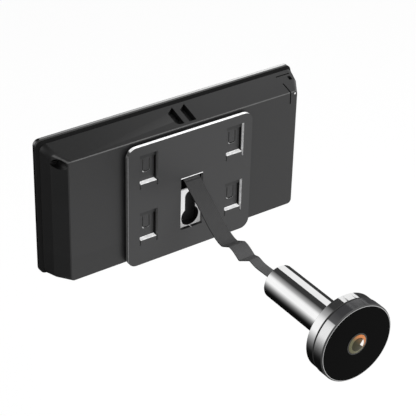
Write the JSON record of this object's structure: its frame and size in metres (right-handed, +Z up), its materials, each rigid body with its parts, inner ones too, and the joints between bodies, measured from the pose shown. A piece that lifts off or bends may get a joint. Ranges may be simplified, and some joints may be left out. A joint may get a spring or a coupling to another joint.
{
  "type": "peephole door camera",
  "caption": "Door viewer seen as a kit: slim monitor with a sloped dark casing, pressed hook plate for the door, flat cable, and a chrome camera whose tube passes through the door.",
  "frame": {"origin": "camera axis where it crosses the bracket plate's door face, which is the door's inner face", "axes": "+X to the right as seen from outdoors, +Y along the camera axis into the room, +Z up"},
  "size_m": [0.1335, 0.1372, 0.0663],
  "materials": {
    "plate_steel": "satin black coat, bare bright cut edges",
    "nickel": "bright nickel plate",
    "screw_steel": "zinc plated steel",
    "casing_black": "fine matte moulding",
    "frame_black": "satin moulding",
    "rim_chrome": "bright chrome plate",
    "screen_glass": "polished, dark tint",
    "display_black": "dark display, switched off",
    "board_green": "solder mask",
    "battery_wrap": "silver pouch",
    "socket_black": "moulded",
    "card_black": "moulded",
    "key_black": "gloss",
    "ribbon_grey": "dark grey flat cable film",
    "camera_chrome": "mirror chrome plate",
    "camera_black_glass": "polished black",
    "lens_ring_black": "anodised black",
    "lens_glass": "coated, amber and green",
    "sensor_glass": "cover glass over a dark chip",
    "led_resin": "dark clear resin"
  },
  "bodies": {
    "bracket": {"bracket_plate": "plate_steel"},
    "monitor": {"rear_casing": "casing_black", "keyhole_plate": "nickel", "keyhole_screws": "screw_steel", "case_screws": "screw_steel", "front_frame": "frame_black", "chrome_rim": "rim_chrome", "front_glass": "screen_glass", "display_panel": "display_black", "display_tray": "screw_steel", "display_screws": "screw_steel", "main_board": "board_green", "board_screws": "screw_steel", "board_chips": "socket_black", "battery": "battery_wrap", "speaker": "socket_black", "cable_socket": "socket_black", "usb_port": "nickel", "card_socket": "nickel", "memory_card": "card_black", "view_switch": "socket_black", "strap_pin": "nickel", "inner_ribbon": "ribbon_grey"},
    "key": {"view_key": "key_black"},
    "cover": {"port_cover": "casing_black"},
    "camera": {"camera_barrel": "camera_chrome", "camera_housing": "camera_chrome", "camera_bezel": "camera_chrome", "camera_glass": "camera_black_glass", "lens_barrel": "lens_ring_black", "front_lens": "lens_glass", "rear_lens": "lens_glass", "lens_holder": "socket_black", "image_sensor": "sensor_glass", "sensor_board": "board_green", "sensor_screws": "screw_steel", "infrared_leds": "led_resin", "camera_connector": "socket_black", "ribbon_tail": "ribbon_grey", "outer_ribbon": "ribbon_grey"}
  },
  "joints": [
    {"name": "monitor_lift", "type": "slide", "parent": "bracket", "child": "monitor", "axis": [0, 0, 1], "range_m": [0, 0.003], "deforming": ["inner_ribbon"]},
    {"name": "camera_slide", "type": "slide", "parent": "bracket", "child": "camera", "axis": [0, 1, 0], "range_m": [0, 0.03], "deforming": ["outer_ribbon"]},
    {"name": "key_press", "type": "slide", "parent": "monitor", "child": "key", "axis": [0, -1, 0], "range_m": [0, 0.0006], "stiffness_N_per_m": 900},
    {"name": "cover_hinge", "type": "hinge", "parent": "monitor", "child": "cover", "pos_m": [0.06318, 0.013, 0.01464], "axis": [0, 0, 1], "range_deg": [0, 90]}
  ]
}
